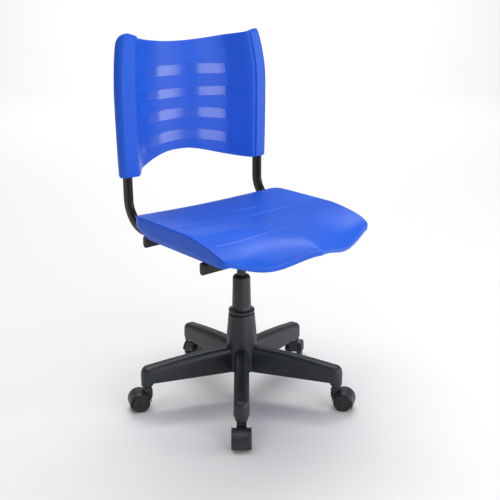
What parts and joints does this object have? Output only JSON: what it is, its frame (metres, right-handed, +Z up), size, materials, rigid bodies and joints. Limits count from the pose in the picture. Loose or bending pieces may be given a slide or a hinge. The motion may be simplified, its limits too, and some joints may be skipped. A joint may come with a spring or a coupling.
{
  "type": "swivel office chair",
  "caption": "Swivel task chair with a one-piece plastic seat and back on oval-tube frame, gas lift, lever and arm base with twin-wheel casters.",
  "frame": {"origin": "on the floor under the column axis", "axes": "+Z up; the sitter faces -Y; +X is the sitter's left"},
  "size_m": [0.5787, 0.5655, 0.9127],
  "materials": {
    "blue_polypropylene": "injection-moulded polypropylene, satin with a faint grain",
    "black_powder_coat": "semi-gloss black powder coat",
    "black_nylon": "glass-filled black nylon, satin",
    "wheel_nylon": "hard black nylon tread",
    "black_plug": "black polyethylene",
    "zinc_steel": "bright zinc plate",
    "black_screw": "black oxide"
  },
  "bodies": {
    "base": {"star_base": "black_nylon", "column_tube": "black_powder_coat", "column_cover": "black_nylon", "guide_bush": "black_plug"},
    "rod": {"piston_rod": "zinc_steel", "retaining_clip": "zinc_steel", "thrust_bearing": "zinc_steel", "rubber_buffer": "black_plug"},
    "seat": {"gas_cylinder": "black_powder_coat", "rod_seal": "black_plug", "taper_socket": "black_powder_coat", "mechanism_plate": "black_powder_coat", "lever_bracket": "zinc_steel", "side_frame_left": "black_powder_coat", "side_frame_right": "black_powder_coat", "cross_tube_front": "black_powder_coat", "cross_tube_rear": "black_powder_coat", "front_tube_plug_left": "black_plug", "front_tube_plug_right": "black_plug", "rear_tube_plug_left": "black_plug", "rear_tube_plug_right": "black_plug", "rail_plug_left": "black_plug", "rail_plug_right": "black_plug", "seat_shell": "blue_polypropylene", "backrest_shell": "blue_polypropylene", "seat_screw_1": "black_screw", "seat_screw_2": "black_screw", "seat_screw_3": "black_screw", "seat_screw_4": "black_screw", "back_screw_left": "black_screw", "back_screw_right": "black_screw"},
    "lever": {"lever_bar": "zinc_steel", "lever_grip": "black_plug", "lever_pin": "zinc_steel"},
    "valve": {"valve_pin": "zinc_steel"},
    "caster_1": {"caster_1_stem": "zinc_steel", "caster_1_hood": "black_nylon", "caster_1_axle": "zinc_steel"},
    "caster_1_left": {"caster_1_wheel_left": "wheel_nylon"},
    "caster_1_right": {"caster_1_wheel_right": "wheel_nylon"},
    "caster_2": {"caster_2_stem": "zinc_steel", "caster_2_hood": "black_nylon", "caster_2_axle": "zinc_steel"},
    "caster_2_left": {"caster_2_wheel_left": "wheel_nylon"},
    "caster_2_right": {"caster_2_wheel_right": "wheel_nylon"},
    "caster_3": {"caster_3_stem": "zinc_steel", "caster_3_hood": "black_nylon", "caster_3_axle": "zinc_steel"},
    "caster_3_left": {"caster_3_wheel_left": "wheel_nylon"},
    "caster_3_right": {"caster_3_wheel_right": "wheel_nylon"},
    "caster_4": {"caster_4_stem": "zinc_steel", "caster_4_hood": "black_nylon", "caster_4_axle": "zinc_steel"},
    "caster_4_left": {"caster_4_wheel_left": "wheel_nylon"},
    "caster_4_right": {"caster_4_wheel_right": "wheel_nylon"},
    "caster_5": {"caster_5_stem": "zinc_steel", "caster_5_hood": "black_nylon", "caster_5_axle": "zinc_steel"},
    "caster_5_left": {"caster_5_wheel_left": "wheel_nylon"},
    "caster_5_right": {"caster_5_wheel_right": "wheel_nylon"}
  },
  "joints": [
    {"name": "seat_swivel", "type": "hinge", "parent": "base", "child": "rod", "pos_m": [0, 0, 0.2], "axis": [0, 0, 1], "continuous": true},
    {"name": "seat_height", "type": "slide", "parent": "rod", "child": "seat", "axis": [0, 0, 1], "range_m": [-0.04, 0.06]},
    {"name": "lever_pivot", "type": "hinge", "parent": "seat", "child": "lever", "pos_m": [-0.03, 0, 0.4239], "axis": [0, 1, 0], "range_deg": [0, 5.7], "stiffness_Nm_per_rad": 0.5, "springref_deg": -5.73},
    {"name": "valve_push", "type": "slide", "parent": "seat", "child": "valve", "axis": [0, 0, -1], "range_m": [0, 0.003]},
    {"name": "caster_1_swivel", "type": "hinge", "parent": "base", "child": "caster_1", "pos_m": [-0.16005, -0.19074, 0.0645], "axis": [0, 0, 1], "continuous": true},
    {"name": "caster_1_roll_left", "type": "hinge", "parent": "caster_1", "child": "caster_1_left", "pos_m": [-0.17355, -0.20683, 0.02354], "axis": [0.766, -0.6428, 0], "continuous": true},
    {"name": "caster_1_roll_right", "type": "hinge", "parent": "caster_1", "child": "caster_1_right", "pos_m": [-0.17355, -0.20683, 0.02354], "axis": [0.766, -0.6428, 0], "continuous": true},
    {"name": "caster_2_swivel", "type": "hinge", "parent": "base", "child": "caster_2", "pos_m": [0.13195, -0.21116, 0.0645], "axis": [0, 0, 1], "continuous": true},
    {"name": "caster_2_roll_left", "type": "hinge", "parent": "caster_2", "child": "caster_2_left", "pos_m": [0.14308, -0.22897, 0.02354], "axis": [0.848, 0.5299, 0], "continuous": true},
    {"name": "caster_2_roll_right", "type": "hinge", "parent": "caster_2", "child": "caster_2_right", "pos_m": [0.14308, -0.22897, 0.02354], "axis": [0.848, 0.5299, 0], "continuous": true},
    {"name": "caster_3_swivel", "type": "hinge", "parent": "base", "child": "caster_3", "pos_m": [0.2416, 0.06024, 0.0645], "axis": [0, 0, 1], "continuous": true},
    {"name": "caster_3_roll_left", "type": "hinge", "parent": "caster_3", "child": "caster_3_left", "pos_m": [0.25815, 0.07317, 0.02354], "axis": [-0.6157, 0.788, 0], "continuous": true},
    {"name": "caster_3_roll_right", "type": "hinge", "parent": "caster_3", "child": "caster_3_right", "pos_m": [0.25815, 0.07317, 0.02354], "axis": [-0.6157, 0.788, 0], "continuous": true},
    {"name": "caster_4_swivel", "type": "hinge", "parent": "base", "child": "caster_4", "pos_m": [0.01737, 0.24839, 0.0645], "axis": [0, 0, 1], "continuous": true},
    {"name": "caster_4_roll_left", "type": "hinge", "parent": "caster_4", "child": "caster_4_left", "pos_m": [0.0371, 0.25558, 0.02354], "axis": [-0.342, 0.9397, 0], "continuous": true},
    {"name": "caster_4_roll_right", "type": "hinge", "parent": "caster_4", "child": "caster_4_right", "pos_m": [0.0371, 0.25558, 0.02354], "axis": [-0.342, 0.9397, 0], "continuous": true},
    {"name": "caster_5_swivel", "type": "hinge", "parent": "base", "child": "caster_5", "pos_m": [-0.23087, 0.09328, 0.0645], "axis": [0, 0, 1], "continuous": true},
    {"name": "caster_5_roll_left", "type": "hinge", "parent": "caster_5", "child": "caster_5_left", "pos_m": [-0.25034, 0.10114, 0.02354], "axis": [-0.3746, -0.9272, 0], "continuous": true},
    {"name": "caster_5_roll_right", "type": "hinge", "parent": "caster_5", "child": "caster_5_right", "pos_m": [-0.25034, 0.10114, 0.02354], "axis": [-0.3746, -0.9272, 0], "continuous": true}
  ],
  "couplings": [
    {"joint": "valve_push", "follows": "lever_pivot", "m_per_rad": 0.03}
  ]
}
